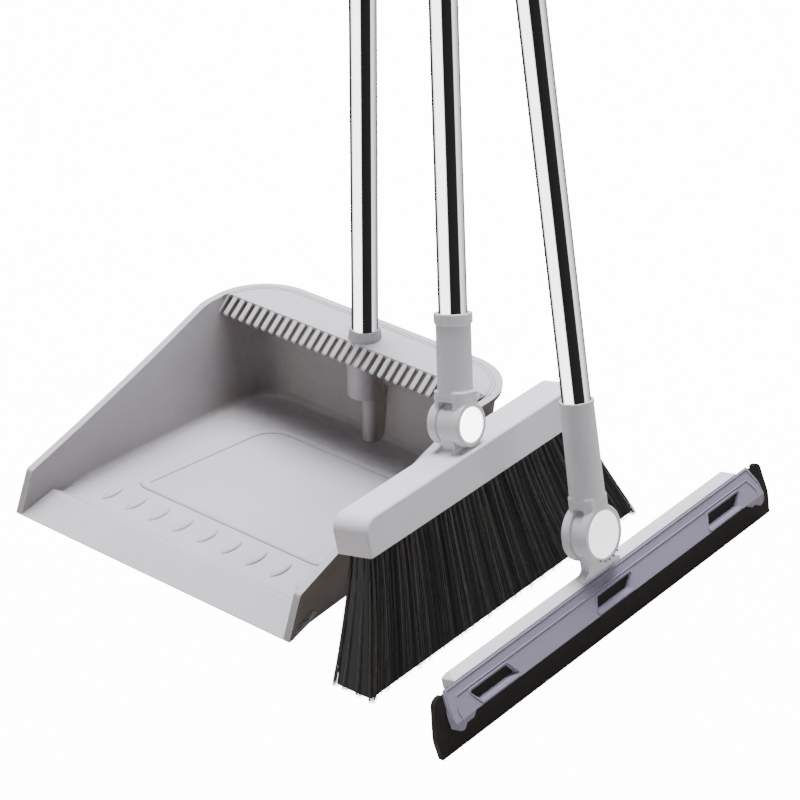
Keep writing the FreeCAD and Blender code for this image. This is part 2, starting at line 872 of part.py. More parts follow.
def squeegee_head_parts():
    return {
        "squeegee_spine": squeegee_spine(),
        "squeegee_plate": squeegee_plate(),
        "squeegee_blade": squeegee_blade(),
        "squeegee_clamp_screws": clamp_screws(),
    }


# ---- standing the tools on the floor -------------------------------------------------------
def stand(shape, x, y):
    """Tip a head back about its length, turn it a little and put it on the floor."""
    placed = shape.copy()
    placed.rotate(vec(0, 0, 0), vec(0, 1, 0), -tool_tilt)
    placed.rotate(vec(0, 0, 0), vec(0, 0, 1), tool_yaw)
    return placed.translated(vec(x, y - pan_centre_y, 0))


def lean(shape, size, angle):
    """Turn a handle about its pin, towards the back, and lift it to the knuckle's height."""
    turned = shape.copy()
    turned.rotate(vec(0, 0, 0), vec(1, 0, 0), -angle)
    return turned.translated(vec(0, 0, size["height"]))


def main():
    os.makedirs("parts", exist_ok=True)
    save("pan_body", pan_body())
    for name, shape in pan_pole_parts().items():
        save(name, shape)
    for name, shape in broom_head_parts().items():
        save(name, stand(shape, broom_x, broom_y))
    for name, shape in squeegee_head_parts().items():
        save(name, stand(shape, squeegee_x, squeegee_y))
    for name, shape in handle_parts("broom", broom_knuckle).items():
        save(name, stand(lean(shape, broom_knuckle, broom_lean), broom_x, broom_y))
    for name, shape in handle_parts("squeegee", squeegee_knuckle).items():
        save(name, stand(lean(shape, squeegee_knuckle, squeegee_lean), squeegee_x, squeegee_y))


main()
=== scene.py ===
import json
import math
import random

import bmesh
import bpy
import numpy as np
from bpy.props import FloatProperty, FloatVectorProperty, IntProperty, PointerProperty
from mathutils import Matrix, Vector


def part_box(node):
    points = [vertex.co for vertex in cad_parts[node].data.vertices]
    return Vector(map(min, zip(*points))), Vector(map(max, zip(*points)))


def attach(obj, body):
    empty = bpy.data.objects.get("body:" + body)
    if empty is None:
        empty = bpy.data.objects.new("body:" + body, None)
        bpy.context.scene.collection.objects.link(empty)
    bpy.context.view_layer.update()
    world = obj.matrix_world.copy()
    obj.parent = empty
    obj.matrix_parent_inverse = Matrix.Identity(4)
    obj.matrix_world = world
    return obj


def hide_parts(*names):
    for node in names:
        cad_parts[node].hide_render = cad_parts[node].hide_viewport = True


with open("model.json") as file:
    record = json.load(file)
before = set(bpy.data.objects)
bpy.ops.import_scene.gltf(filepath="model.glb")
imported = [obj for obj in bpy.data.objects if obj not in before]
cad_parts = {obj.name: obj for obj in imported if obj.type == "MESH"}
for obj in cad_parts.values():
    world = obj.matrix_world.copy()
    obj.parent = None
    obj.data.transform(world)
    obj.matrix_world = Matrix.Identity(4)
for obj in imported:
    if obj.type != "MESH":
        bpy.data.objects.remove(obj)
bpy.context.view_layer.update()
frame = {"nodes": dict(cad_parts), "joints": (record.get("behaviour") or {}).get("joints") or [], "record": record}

bl_info = {
    "name": "Dustpan, Broom and Squeegee",
    "version": (1, 0, 0),
    "blender": (4, 5, 0),
    "location": "View3D > Sidebar > Floor Set",
    "description": "Builds the finished surfaces of a long-handled floor cleaning set",
    "category": "Object",
}

MM = 0.001
JOINTS = {joint["name"]: joint for joint in frame["joints"]}


# ---- settings ------------------------------------------------------------------------------
def length(name, description, default):
    return FloatProperty(name=name, description=description, default=default, unit="LENGTH", precision=5)


def number(name, description, default):
    return IntProperty(name=name, description=description, default=default, min=1)


def amount(name, description, default, unit="NONE"):
    return FloatProperty(name=name, description=description, default=default, unit=unit, precision=4)


def colour(name, description, default):
    return FloatVectorProperty(
        name=name, description=description, default=default, subtype="COLOR", size=3, min=0.0, max=1.0
    )


class DustpanSettings(bpy.types.PropertyGroup):
    centre: length("Centre", "From the lip's edge back to the origin", 150 * MM)
    wall: length("Wall", "Thickness of the side and back walls", 2.4 * MM)
    floor: length("Floor", "Height of the floor's upper face", 3 * MM)
    mouth_half: length("Mouth half width", "Outside of the walls at the mouth", 142.5 * MM)
    foot_half: length("Foot half width", "Outside of the walls at the back, at the floor", 124.5 * MM)
    hood_half: length("Hood half width", "Outside of the walls at the back, under the hood", 141 * MM)
    foot_back: length("Foot back", "Outside of the back wall at the floor", 279 * MM)
    hood_back: length("Hood back", "Outside of the back wall under the hood", 289.5 * MM)
    foot_corner: length("Foot corner", "Radius of the back corners at the floor", 32 * MM)
    hood_corner: length("Hood corner", "Radius of the back corners under the hood", 48 * MM)
    hood_height: length("Hood height", "Top of the hood", 102 * MM)
    rim: length("Rim", "How far the rim stands out from the walls", 4 * MM)
    lip_run: length("Lip run", "From the lip's edge to its ridge", 34 * MM)
    lip_back: length("Lip back", "From the ridge down to the floor", 11 * MM)
    fillet: length("Fillet", "Radius between the floor and the walls", 7 * MM)
    comb_root: length("Comb root", "Where the comb's fingers leave the hood", 248 * MM)
    comb_pitch: length("Comb pitch", "From one finger to the next", 8.4 * MM)
    comb_width: length("Finger width", "Width of a finger of the comb", 4.3 * MM)
    comb_span: length("Comb span", "Width of the whole comb", 278 * MM)
    comb_reach: length("Comb reach", "How far the fingers run forward", 14 * MM)
    comb_drop: length("Comb drop", "How far the fingers drop", 11 * MM)
    finger_deep: length("Finger depth", "Half the thickness of a finger", 1.9 * MM)
    hood_line: length("Hood line", "Half width of the fine lines on the hood", 0.55 * MM)
    hood_line_in: length("Hood line place", "From the rim in to the outer fine line", 6.5 * MM)
    hood_line_gap: length("Hood line gap", "From one fine line to the other", 3 * MM)
    tray_front_half: length("Tray front half width", "Half width of the floor's frame in front", 95 * MM)
    tray_back_half: length("Tray back half width", "Half width of the floor's frame behind", 76 * MM)
    tray_front: length("Tray front", "Front of the floor's frame", 95 * MM)
    tray_back: length("Tray back", "Back of the floor's frame", 230 * MM)
    tray_corner: length("Tray corner", "Radius of the frame's back corners", 26 * MM)
    tray_bead: length("Tray bead", "Width of the plain bead under the frame", 3 * MM)
    tray_round: length("Tray round", "Half width of the rounded bead on the frame", 4.2 * MM)
    ripple_count: number("Ripples", "Low bumps behind the lip", 9)
    ripple_pitch: length("Ripple pitch", "From one bump to the next", 26 * MM)
    ripple_y: length("Ripple place", "From the lip's edge back to the bumps", 68 * MM)
    ripple_length: length("Ripple length", "Length of a bump, front to back", 25 * MM)
    ripple_width: length("Ripple width", "Width of a bump", 8.5 * MM)
    ripple_height: length("Ripple height", "Height of a bump", 2.2 * MM)
    plastic: colour("Plastic", "Colour of the dustpan", (0.56, 0.55, 0.585))
    # Painted shade: the colour that the dustpan's walls and undersides fall to where others shut them in.
    painted_shade: colour("Deep plastic", "Colour of the dustpan where its walls shut it in", (0.155, 0.128, 0.115))


class BroomSettings(bpy.types.PropertyGroup):
    tufts_along: number("Tufts along", "Tufts along the head", 46)
    tufts_across: number("Tufts across", "Tufts across the head", 4)
    fibres: number("Fibres", "Fibres in a tuft", 44)
    end_share: number("End tufts", "How many times as full the end tufts are", 4)
    fibre: length("Fibre", "Thickness of a fibre at its root", 0.42 * MM)
    plastic: colour("Plastic", "Colour of the broom's cover", (0.79, 0.78, 0.83))
    bristle: colour("Bristle", "Colour of the fibres", (0.0085, 0.008, 0.0072))


class SqueegeeSettings(bpy.types.PropertyGroup):
    plate_half: length("Plate half length", "Half length of the clamp plate", 202 * MM)
    plate_brow: length("Plate brow", "Front to back place of the plate's top edge", 4.2 * MM)
    plate_top: length("Plate top", "Height of the plate's top edge", 44.8 * MM)
    plate_front: length("Plate front", "Front to back place of the plate's lower edge", 15 * MM)
    plate_bottom: length("Plate bottom", "Height where the plate's slope ends", 21.5 * MM)
    plate_tip: length("Plate tip", "Height of the lowest point of the hooked ends", 14 * MM)
    plate_corner_run: length("Plate corner run", "Cut of the plate's upper corners, along it", 5 * MM)
    plate_corner_drop: length("Plate corner drop", "Cut of the plate's upper corners, down it", 14 * MM)
    window: length("Window", "Length of each slanted window", 44 * MM)
    window_height: length("Window height", "Height of each window", 9.5 * MM)
    window_bottom: length("Window bottom", "Height of the windows' lower edges", 24 * MM)
    window_slant: length("Window slant", "How far a window's ends lean", 8 * MM)
    window_spread: length("Window spread", "From the middle window to the outer ones", 150 * MM)
    border: length("Border", "From the plate's edge to the inner line", 8 * MM)
    spine: colour("Spine", "Colour of the holder's spine", (0.77, 0.76, 0.81))
    plate: colour("Plate", "Colour of the clamp plate", (0.235, 0.22, 0.295))
    rubber: colour("Rubber", "Colour of the blade", (0.022, 0.019, 0.018))


class HandleSettings(bpy.types.PropertyGroup):
    grain: length("Grain", "Cell size used to soften the moulded joints", 0.55 * MM)
    rib_count: number("Ribs", "Rings round a grip", 8)
    rib_pitch: length("Rib pitch", "From one ring to the next", 6 * MM)
    rib_start: length("Rib start", "From the grip's lower end up to the first ring", 22 * MM)
    cap_roll: length("Cap roll", "Rounding of a cap's rim", 0.55 * MM)
    cap_dish: length("Cap dish", "How deep a cap is dished", 0.35 * MM)
    # The stop dimples are built as dark discs: painted shade for their hollows.
    mark_count: number("Marks", "Dimples round the squeegee's front cheek", 5)
    mark_ring: length("Mark ring", "From the pin out to the dimples", 20.1 * MM)
    fork: colour("Fork", "Colour of the forks and grips", (0.76, 0.755, 0.79))
    # Cap glows are painted light: emission that brightens the caps, which are no lamps.
    white_cap_painted_glow: amount("White cap glow", "Light that the broom's milky caps pass on", 6.5)
    grey_cap_painted_glow: amount("Grey cap glow", "Light that the squeegee's caps pass on", 1.8)
    cap: colour("White cap", "Colour of the broom's caps", (0.93, 0.93, 0.93))
    grey_cap: colour("Grey cap", "Colour of the squeegee's caps", (0.84, 0.84, 0.85))
    chrome: colour("Chrome", "Colour of the plated poles", (0.80, 0.81, 0.83))
    steel: colour("Steel", "Colour of the plain fasteners", (0.42, 0.43, 0.44))


class StageSettings(bpy.types.PropertyGroup):
    floor_size: length("Floor", "Side of the pale floor", 14.0)
    floor_colour: colour("Floor colour", "Colour of the pale floor", (0.42, 0.395, 0.38))
    paper_glow: amount("Paper glow", "Extra whiteness of the floor", 14.0)
    backdrop_glow: amount("Backdrop glow", "How much whiter the backdrop is than the floor", 2.5)
    even: amount("Even light", "Light from all round", 0.05)
    flags: amount("Flags", "Brightness of the surroundings that chrome shows", 5.5)
    key: amount("Key", "Power of the large light overhead", 260.0, "POWER")
    fill: amount("Fill", "Power of the light beside the tools", 16.0, "POWER")
    softbox: length("Softbox", "Side of each square light", 1.6)
    lens: amount("Lens", "Focal length of the camera", 134.73, "CAMERA")
    azimuth: amount("Azimuth", "Camera's turn round to the right", math.radians(39.614), "ROTATION")
    elevation: amount("Elevation", "Camera's tilt downwards", math.radians(29.403), "ROTATION")
    stand: FloatVectorProperty(
        name="Camera place", description="Where the camera stands", default=(1.39924, -1.53356, 1.25979),
        unit="LENGTH", precision=5
    )


# ---- frames of the parts -------------------------------------------------------------------
def head_matrix(tool):
    """Frame of a tool's head: origin at the pin, X forward along it, Y along the bar, Z up."""
    hinge = JOINTS[tool + "_knuckle"]
    front = Vector(hinge["axis"]).normalized()
    up = Vector(JOINTS[tool + "_lift"]["axis"]).normalized()
    matrix = Matrix((front, up.cross(front), up)).transposed().to_4x4()
    matrix.translation = Vector(hinge["pos_m"])
    return matrix


def handle_matrix(tool):
    """Frame of a tool's handle: origin at the pin, Z up the pole. The pole is square at mid range."""
    low, high = JOINTS[tool + "_knuckle"]["range_deg"]
    lean = math.radians((low + high) / 2)
    return head_matrix(tool) @ Matrix.Rotation(-lean, 4, "X")


def pan_matrix():
    return Matrix.Translation((0, -bpy.context.scene.dustpan.centre, 0))


def local_box(node, matrix):
    """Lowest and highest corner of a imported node, measured in a part's own frame."""
    inverse = matrix.inverted()
    points = np.array([inverse @ v.co for v in frame["nodes"][node].data.vertices])
    return Vector(points.min(0)), Vector(points.max(0))


# ---- outlines ------------------------------------------------------------------------------
def rounded(corners, steps=6):
    """Points of a closed outline through (u, v, radius) corners."""
    points = []
    count = len(corners)
    for i in range(count):
        u, v, radius = corners[i]
        here = Vector((u, v))
        if radius <= 0:
            points.append(here)
            continue
        before = (Vector(corners[i - 1][:2]) - here).normalized()
        after = (Vector(corners[(i + 1) % count][:2]) - here).normalized()
        half = before.angle(after) / 2
        centre = here + (before + after).normalized() * (radius / math.sin(half))
        start = here + before * (radius / math.tan(half)) - centre
        end = here + after * (radius / math.tan(half)) - centre
        turn = start.angle_signed(end)
        for k in range(steps + 1):
            angle = -turn * k / steps
            spun = Vector((
                start.x * math.cos(angle) - start.y * math.sin(angle),
                start.x * math.sin(angle) + start.y * math.cos(angle),
            ))
            points.append(centre + spun)
    return points


def circle(radius, count):
    turns = [2 * math.pi * i / count for i in range(count)]
    return [Vector((radius * math.cos(t), radius * math.sin(t))) for t in turns]


# ---- shapes --------------------------------------------------------------------------------
class Shape:
    """Points and faces of one piece, gathered from simple bodies."""

    def __init__(self, matrix):
        self.points = []
        self.faces = []
        self.matrix = matrix

    def rings(self, rings, caps=True):
        """Quads between rings of equal count, closed by flat faces at both ends if caps is true."""
        start = len(self.points)
        count = len(rings[0])
        for ring in rings:
            self.points.extend(self.matrix @ Vector(point) for point in ring)
        for i in range(len(rings) - 1):
            for j in range(count):
                a = start + i * count + j
                b = start + i * count + (j + 1) % count
                self.faces.append((a, b, b + count, a + count))
        if caps:
            last = start + (len(rings) - 1) * count
            self.faces.append(tuple(range(start + count - 1, start - 1, -1)))
            self.faces.append(tuple(range(last, last + count)))

    def bead(self, route, radius, up, closed=True, sides=8, rise=1.0):
        """Round bead along a route, half sunk in the face whose normal is up; rise flattens it."""
        rings = []
        count = len(route)
        turns = [2 * math.pi * k / sides for k in range(sides)]
        for i in range(count):
            if closed:
                along = route[(i + 1) % count] - route[i - 1]
            else:
                along = route[min(i + 1, count - 1)] - route[max(i - 1, 0)]
            side = along.normalized().cross(up).normalized()
            ring = [radius * (side * math.cos(t) + up * (rise * math.sin(t))) for t in turns]
            rings.append([route[i] + point for point in ring])
        if closed:
            rings.append(rings[0])
        self.rings(rings, caps=not closed)

    def turned(self, profile, segments, spin=Matrix.Identity(4)):
        """Body of revolution about Z through (radius, height) points, then moved by spin."""
        rings = []
        for radius, height in profile:
            rings.append([spin @ Vector((p.x, p.y, height)) for p in circle(radius, segments)])
        self.rings(rings)

    def finish(self, name, body, material, slot, nodes=(), sharp=60.0):
        mesh = bpy.data.meshes.new(name)
        mesh.from_pydata(self.points, [], self.faces)
        return settle(name, mesh, body, material, slot, nodes, sharp)


def settle(name, mesh, body, material, slot, nodes, sharp):
    """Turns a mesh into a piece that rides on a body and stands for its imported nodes."""
    work = bmesh.new()
    work.from_mesh(mesh)
    bmesh.ops.remove_doubles(work, verts=work.verts, dist=1e-7)
    bmesh.ops.dissolve_degenerate(work, edges=work.edges, dist=1e-8)
    bmesh.ops.recalc_face_normals(work, faces=work.faces)
    work.to_mesh(mesh)
    work.free()
    mesh.shade_smooth()
    mesh.set_sharp_from_angle(angle=math.radians(sharp))
    piece = bpy.data.objects.new(name, mesh)
    bpy.context.scene.collection.objects.link(piece)
    mesh.materials.clear()
    mesh.materials.append(material)
    piece.visible_glossy = False
    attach(piece, body)
    if nodes:
        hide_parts(*nodes)
    return piece


def softened(node, matrix, cell, passes, keep):
    """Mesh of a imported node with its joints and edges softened, as a moulding has them."""
    source = frame["nodes"][node].data.copy()
    source.transform(matrix.inverted())
    work = bmesh.new()
    work.from_mesh(source)
    bmesh.ops.remove_doubles(work, verts=work.verts, dist=1e-6)
    work.to_mesh(source)
    work.free()
    holder = bpy.data.objects.new("softening", source)
    bpy.context.scene.collection.objects.link(holder)
    remesh = holder.modifiers.new("cells", "REMESH")
    remesh.mode = "VOXEL"
    remesh.voxel_size = cell
    smooth = holder.modifiers.new("smooth", "SMOOTH")
    smooth.factor = 0.5
    smooth.iterations = passes
    thin = holder.modifiers.new("thin", "DECIMATE")
    thin.ratio = keep
    graph = bpy.context.evaluated_depsgraph_get()
    mesh = bpy.data.meshes.new_from_object(holder.evaluated_get(graph))
    bpy.data.objects.remove(holder)
    mesh.transform(matrix)
    return mesh


# ---- materials -----------------------------------------------------------------------------
def shader(name, roughness, **constants):
    """A new material with its nodes, and object coordinates to build its detail on."""
    material = bpy.data.materials.new(name)
    material.use_nodes = True
    nodes = material.node_tree.nodes
    surface = nodes["Principled BSDF"]
    surface.inputs["Roughness"].default_value = roughness
    for socket, value in constants.items():
        label = socket.replace("_", " ").title().replace("Ior", "IOR")
        surface.inputs[label].default_value = value
    place = nodes.new("ShaderNodeTexCoord")
    return material, surface, place.outputs["Object"]


def noise(material, place, scale, detail=3.0, roughness=0.5):
    node = material.node_tree.nodes.new("ShaderNodeTexNoise")
    node.inputs["Scale"].default_value = scale
    node.inputs["Detail"].default_value = detail
    node.inputs["Roughness"].default_value = roughness
    material.node_tree.links.new(place, node.inputs["Vector"])
    return node.outputs["Fac"]


def ranged(material, value, low, high, from_low=0.3, from_high=0.7):
    node = material.node_tree.nodes.new("ShaderNodeMapRange")
    node.inputs["From Min"].default_value = from_low
    node.inputs["From Max"].default_value = from_high
    node.inputs["To Min"].default_value = low
    node.inputs["To Max"].default_value = high
    material.node_tree.links.new(value, node.inputs["Value"])
    return node.outputs["Result"]


def tinted(material, value, dark, light):
    """Colour between dark and light, by a value from 0 to 1."""
    node = material.node_tree.nodes.new("ShaderNodeValToRGB")
    node.color_ramp.elements[0].color = (*dark, 1)
    node.color_ramp.elements[1].color = (*light, 1)
    node.color_ramp.elements[0].position = 0.3
    node.color_ramp.elements[1].position = 0.7
    material.node_tree.links.new(value, node.inputs["Fac"])
    return node.outputs["Color"]


def bumped(material, surface, height, distance, strength=1.0, under=None):
    node = material.node_tree.nodes.new("ShaderNodeBump")
    node.inputs["Distance"].default_value = distance
    node.inputs["Strength"].default_value = strength
    links = material.node_tree.links
    links.new(height, node.inputs["Height"])
    if under:
        links.new(under, node.inputs["Normal"])
    links.new(node.outputs["Normal"], surface.inputs["Normal"])
    return node.outputs["Normal"]


def scaled(tone, share):
    return tuple(min(1.0, c * share) for c in tone)


def painted_recess_shade(material, colour, painted_shade, reach, open_at, closed_at):
    """Colour darkened into painted shade on walls and undersides which others shut in within reach."""
    nodes = material.node_tree.nodes
    links = material.node_tree.links
    closeness = nodes.new("ShaderNodeAmbientOcclusion")
    closeness.samples = 12
    closeness.inputs["Distance"].default_value = reach
    facing = nodes.new("ShaderNodeNewGeometry")
    upward = nodes.new("ShaderNodeSeparateXYZ")
    links.new(facing.outputs["Normal"], upward.inputs["Vector"])
    openness = nodes.new("ShaderNodeMath")
    openness.operation = "MAXIMUM"
    level_share = 0.84      # how much of its own colour a shut-in level face keeps under the painted shade
    steep, level = 0.35, 0.95       # the normal's upward part on a steep face and on a level one
    # Painted shade by facing: steep faces and undersides lose their own colour, level faces keep most of it.
    flatness = ranged(material, upward.outputs["Z"], 0.0, level_share, steep, level)
    links.new(flatness, openness.inputs[0])
    # Painted shade by closeness: faces that others shut in lose their own colour.
    clear = ranged(material, closeness.outputs["AO"], 0.0, 1.0, closed_at, open_at)
    links.new(clear, openness.inputs[1])
    blend = nodes.new("ShaderNodeMix")
    blend.data_type = "RGBA"
    blend.inputs["A"].default_value = (*painted_shade, 1)
    links.new(colour, blend.inputs["B"])
    links.new(openness.outputs["Value"], blend.inputs["Factor"])
    return blend.outputs["Result"]


def moulded_plastic(name, tone, roughness, grain=0.03 * MM, painted_shade=None):
    """Satin polypropylene: faint flow marks, fine spark-eroded grain and uneven gloss."""
    material, surface, place = shader(name, roughness, ior=1.49, specular_ior_level=0.16)
    links = material.node_tree.links
    flow = noise(material, place, 9.0, 4.0)
    tone_and_painted_light = tinted(material, flow, scaled(tone, 0.94), scaled(tone, 1.03))
    # When a shade colour is given, painted shade darkens the walls and undersides.
    if painted_shade:
        tone_and_painted_light = painted_recess_shade(material, tone_and_painted_light, painted_shade, reach=0.13, open_at=0.92, closed_at=0.25)
    links.new(tone_and_painted_light, surface.inputs["Base Color"])
    gloss = noise(material, place, 42.0, 5.0, 0.65)
    links.new(ranged(material, gloss, roughness - 0.06, roughness + 0.08), surface.inputs["Roughness"])
    ripple = bumped(material, surface, noise(material, place, 28.0, 2.0), 0.0002, 0.25)
    bumped(material, surface, noise(material, place, 1900.0, 2.0), grain, 0.8, ripple)
    return material


def gloss_plastic(name, tone, glow=0.0):
    """Polished cap plastic with hairline scuffs; glow is a painted glow, emission that brightens the caps although
    they are no lamps.
    """
    material, surface, place = shader(name, 0.2, ior=1.5, coat_weight=0.25, coat_roughness=0.12,
                                      emission_color=(1, 1, 1, 1), emission_strength=glow)
    links = material.node_tree.links
    cloud = noise(material, place, 60.0, 2.0)
    links.new(tinted(material, cloud, scaled(tone, 0.97), scaled(tone, 1.01)), surface.inputs["Base Color"])
    scuff = noise(material, place, 900.0, 6.0, 0.7)
    links.new(ranged(material, scuff, 0.16, 0.34), surface.inputs["Roughness"])
    bumped(material, surface, scuff, 0.01 * MM, 0.5)
    return material


def plated_chrome(name, tone):
    """Bright chrome over drawn tube: faint lengthwise draw lines and fingerprints."""
    material, surface, place = shader(name, 0.07, metallic=1.0)
    links = material.node_tree.links
    mapping = material.node_tree.nodes.new("ShaderNodeMapping")
    mapping.inputs["Scale"].default_value = (1.0, 1.0, 0.02)
    links.new(place, mapping.inputs["Vector"])
    drawn = noise(material, mapping.outputs["Vector"], 1400.0, 2.0)
    links.new(tinted(material, drawn, scaled(tone, 0.97), scaled(tone, 1.02)), surface.inputs["Base Color"])
    touched = noise(material, place, 30.0, 6.0, 0.7)
    links.new(ranged(material, touched, 0.045, 0.10), surface.inputs["Roughness"])
    bumped(material, surface, drawn, 0.002 * MM, 0.25)
    return material


def zinc_steel(name, tone):
    """Zinc-plated fastener steel with a crystalline bloom."""
    material, surface, place = shader(name, 0.35, metallic=1.0)
    links = material.node_tree.links
    bloom = noise(material, place, 700.0, 4.0, 0.6)
    links.new(tinted(material, bloom, scaled(tone, 0.82), scaled(tone, 1.1)), surface.inputs["Base Color"])
    links.new(ranged(material, bloom, 0.28, 0.46), surface.inputs["Roughness"])
    bumped(material, surface, bloom, 0.02 * MM, 0.4)
    return material


def black_rubber(name, tone):
    """Matt foam rubber with a dusty bloom and a fine skin."""
    material, surface, place = shader(name, 0.7, ior=1.45, specular_ior_level=0.07)
    links = material.node_tree.links
    dust = noise(material, place, 85.0, 6.0, 0.7)
    links.new(tinted(material, dust, scaled(tone, 0.75), scaled(tone, 1.5)), surface.inputs["Base Color"])
    links.new(ranged(material, dust, 0.58, 0.8), surface.inputs["Roughness"])
    skin = noise(material, place, 2200.0, 3.0, 0.6)
    bumped(material, surface, skin, 0.05 * MM, 0.7)
    return material


def bristle_fibre(name, tone):
    """Dark split-tip fibre: each fibre has its own tone, partly random and partly painted fold shade and painted
    sheen, with a soft sheen from the shader along it.
    """
    material, surface, place = shader(name, 0.42, ior=1.5, specular_ior_level=0.08)
    links = material.node_tree.links
    tone_and_painted_light = material.node_tree.nodes.new("ShaderNodeAttribute")
    tone_and_painted_light.attribute_name = "fibre_tone"
    # The bright end of this range is painted sheen.
    fibre = tinted(material, tone_and_painted_light.outputs["Fac"], scaled(tone, 0.35), scaled(tone, 6.5))
    links.new(fibre, surface.inputs["Base Color"])
    worn = noise(material, place, 300.0, 3.0)
    links.new(ranged(material, worn, 0.3, 0.48), surface.inputs["Roughness"])
    return material


# ---- stage ---------------------------------------------------------------------------------
# Heading in degrees and brightness of the studio round the set, which only glossy faces see:
# a white wall on the left, a black flag in front, a grey wall on the right and a dark back.
FLAGS = (
    (-180, 0.012), (-168, 0.012), (-148, 1.0), (-76, 1.0), (-68, 0.004), (12, 0.006), (19, 0.4),
    (45, 0.26), (70, 0.16), (77, 0.05), (128, 0.04), (134, 0.012), (180, 0.012),
)


def soft_light(name, place, target, side, power):
    """Large square light of a cool white, which glossy faces don't show."""
    lamp = bpy.data.lights.new(name, "AREA")
    lamp.shape = "RECTANGLE"
    lamp.size = side
    lamp.size_y = side
    lamp.energy = power
    lamp.color = (0.98, 0.98, 1.0)
    light = bpy.data.objects.new(name, lamp)
    light.location = place
    bpy.context.scene.collection.objects.link(light)
    direction = Vector(target) - light.location
    light.rotation_euler = direction.to_track_quat("-Z", "Y").to_euler()
    light.visible_glossy = False


class FLOORSET_OT_stage(bpy.types.Operator):
    """Pale floor, soft studio light and the camera"""

    bl_idname = "floorset.stage"
    bl_label = "Stage"

    def execute(self, context):
        settings = context.scene.stage
        half = settings.floor_size / 2
        mesh = bpy.data.meshes.new("studio_floor")
        corners = [(-half, -half, 0), (half, -half, 0), (half, half, 0), (-half, half, 0)]
        mesh.from_pydata(corners, [], [(0, 1, 2, 3)])
        floor = bpy.data.objects.new("studio_floor", mesh)
        context.scene.collection.objects.link(floor)
        material, surface, place = shader("studio_paper", 0.85)
        paper = noise(material, place, 3.0, 2.0)
        tone = tuple(settings.floor_colour)
        links = material.node_tree.links
        links.new(tinted(material, paper, scaled(tone, 0.995), tone), surface.inputs["Base Color"])
        glow = material.node_tree.nodes.new("ShaderNodeLightPath")
        share = material.node_tree.nodes.new("ShaderNodeMath")
        share.operation = "MULTIPLY"
        share.inputs[1].default_value = settings.paper_glow
        links.new(glow.outputs["Is Camera Ray"], share.inputs[0])
        links.new(share.outputs["Value"], surface.inputs["Emission Strength"])
        surface.inputs["Emission Color"].default_value = (1, 1, 1, 1)
        mesh.materials.append(material)
        floor.visible_glossy = False
        self.surroundings(context, settings)
        self.lights(settings)
        self.camera(context, settings)
        return {"FINISHED"}

    def surroundings(self, context, settings):
        """Even pale surroundings, which glossy metal sees as a studio with dark flags."""
        world = bpy.data.worlds.new("studio")
        world.use_nodes = True
        context.scene.world = world
        tree = world.node_tree
        nodes = tree.nodes
        place = nodes.new("ShaderNodeTexCoord")
        parts = nodes.new("ShaderNodeSeparateXYZ")
        tree.links.new(place.outputs["Generated"], parts.inputs["Vector"])
        heading = nodes.new("ShaderNodeMath")
        heading.operation = "ARCTAN2"
        tree.links.new(parts.outputs["Y"], heading.inputs[0])
        tree.links.new(parts.outputs["X"], heading.inputs[1])
        turn = nodes.new("ShaderNodeMapRange")
        turn.inputs["From Min"].default_value = -math.pi
        turn.inputs["From Max"].default_value = math.pi
        tree.links.new(heading.outputs["Value"], turn.inputs["Value"])
        ramp = nodes.new("ShaderNodeValToRGB")
        elements = ramp.color_ramp.elements
        elements[0].position = 0.0
        elements[1].position = 1.0
        for degrees, level in FLAGS[1:-1]:
            elements.new((degrees + 180) / 360)
        for element, (degrees, level) in zip(elements, FLAGS):
            element.color = (level, level, level * 1.01, 1)
        tree.links.new(turn.outputs["Result"], ramp.inputs["Fac"])
        flags = self.background(nodes, settings.flags)
        tree.links.new(ramp.outputs["Color"], flags.inputs["Color"])
        even = self.background(nodes, settings.even)
        even.inputs["Color"].default_value = (0.97, 0.97, 1.0, 1)
        backdrop = self.background(nodes, settings.paper_glow + settings.backdrop_glow)
        path = nodes.new("ShaderNodeLightPath")
        seen = self.chosen(tree, path.outputs["Is Glossy Ray"], even.outputs[0], flags.outputs[0])
        shown = self.chosen(tree, path.outputs["Is Camera Ray"], seen, backdrop.outputs[0])
        tree.links.new(shown, nodes["World Output"].inputs["Surface"])

    def background(self, nodes, strength):
        node = nodes.new("ShaderNodeBackground")
        node.inputs["Strength"].default_value = strength
        return node

    def chosen(self, tree, switch, off, on):
        """The on shader for rays where the switch is 1, and the off shader for the others."""
        node = tree.nodes.new("ShaderNodeMixShader")
        tree.links.new(switch, node.inputs["Fac"])
        tree.links.new(off, node.inputs[1])
        tree.links.new(on, node.inputs[2])
        return node.outputs["Shader"]

    def lights(self, settings):
        middle = (0.08, 0.0, 0.15)
        soft_light("key_softbox", (-0.5, 0.75, 2.8), middle, settings.softbox, settings.key)
        soft_light("fill_softbox", (2.5, 0.3, 1.2), middle, settings.softbox, settings.fill)

    def camera(self, context, settings):
        data = bpy.data.cameras.new("camera")
        data.lens = settings.lens
        data.sensor_width = 36.0
        data.clip_end = 60.0
        camera = bpy.data.objects.new("camera", data)
        across = Vector((math.cos(settings.azimuth), math.sin(settings.azimuth), 0))
        level = across.cross(Vector((0, 0, 1)))
        back = level * math.cos(settings.elevation) + Vector((0, 0, math.sin(settings.elevation)))
        matrix = Matrix((across, back.cross(across), back)).transposed().to_4x4()
        matrix.translation = Vector(settings.stand)
        camera.matrix_world = matrix
        context.scene.collection.objects.link(camera)
        context.scene.camera = camera


